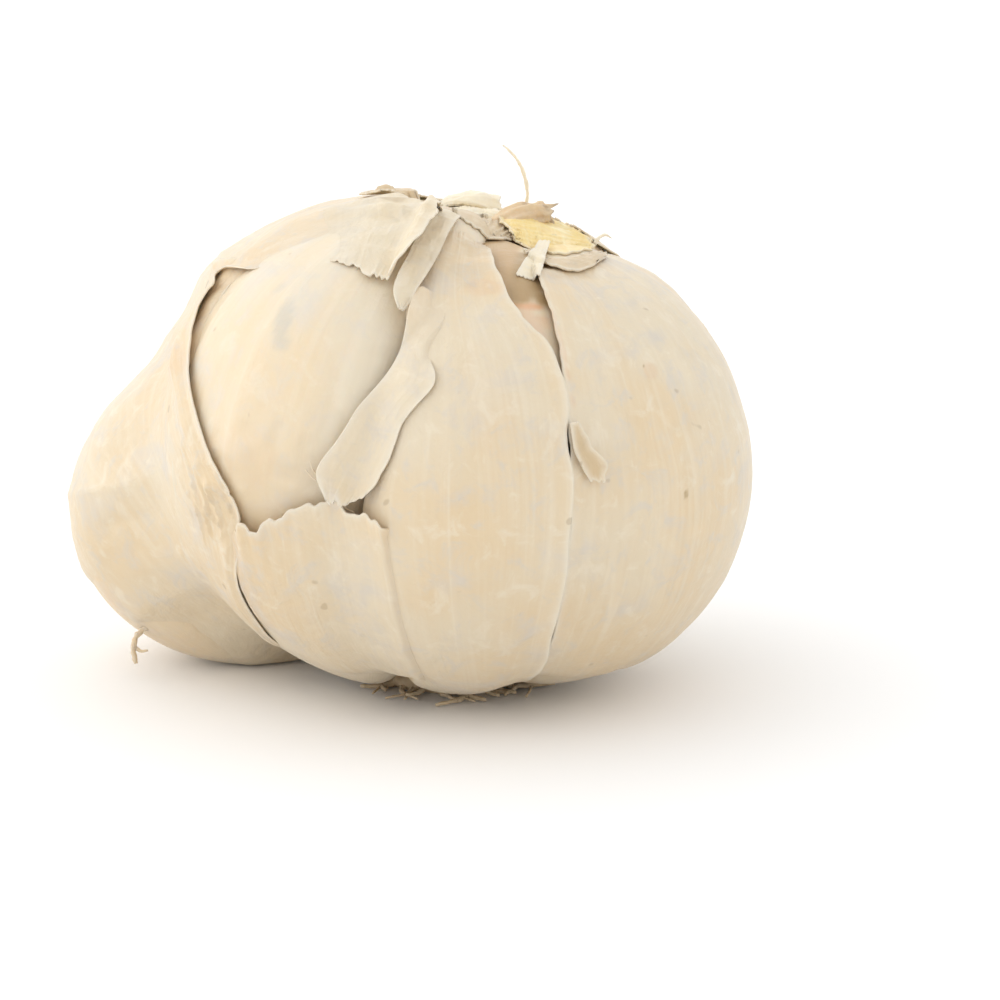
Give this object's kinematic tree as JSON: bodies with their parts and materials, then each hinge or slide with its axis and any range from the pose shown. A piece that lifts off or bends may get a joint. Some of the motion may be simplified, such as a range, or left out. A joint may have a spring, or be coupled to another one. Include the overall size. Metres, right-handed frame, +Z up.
{
  "type": "garlic bulb",
  "caption": "Whole garlic bulb in torn papery skins, standing on its flat root plate, with one clove splayed out to the left.",
  "frame": {"origin": "on the ground, in the middle of the root plate's flat underside", "axes": "+Z up along the stalk, -Y towards the front, +X to the right; the splayed clove points to -X"},
  "size_m": [0.0683, 0.0601, 0.0516],
  "materials": {
    "clove_skin": "satin papery clove skin, cream with fine lengthwise veins",
    "pale_paper": "thin dry outer skin, off-white with fine veins and slight translucency",
    "beige_paper": "dry crumpled outer skin, greyish beige, matte",
    "brown_paper": "dry brown tissue, matte",
    "straw_paper": "straw yellow leaf sheath with lengthwise fibres",
    "dry_root": "dry brown stem and root tissue, rough and fibrous"
  },
  "bodies": {
    "root": {"clove_left_splayed": "clove_skin", "clove_front_left": "clove_skin", "clove_front": "clove_skin", "clove_right_front": "clove_skin", "clove_right_back": "clove_skin", "clove_back": "clove_skin", "clove_back_left": "clove_skin", "stalk_and_root_plate": "dry_root", "wrapper_left": "pale_paper", "wrapper_right": "pale_paper", "wrapper_back": "pale_paper", "skin_front": "pale_paper", "strip_front": "pale_paper", "cuff_front_left": "pale_paper", "white_scrap": "pale_paper", "cap_flap": "beige_paper", "neck_fold_upper": "beige_paper", "neck_fold_lower": "beige_paper", "tissue_flap": "brown_paper", "brown_curl": "brown_paper", "straw_sheath": "straw_paper"}
  },
  "joints": []
}
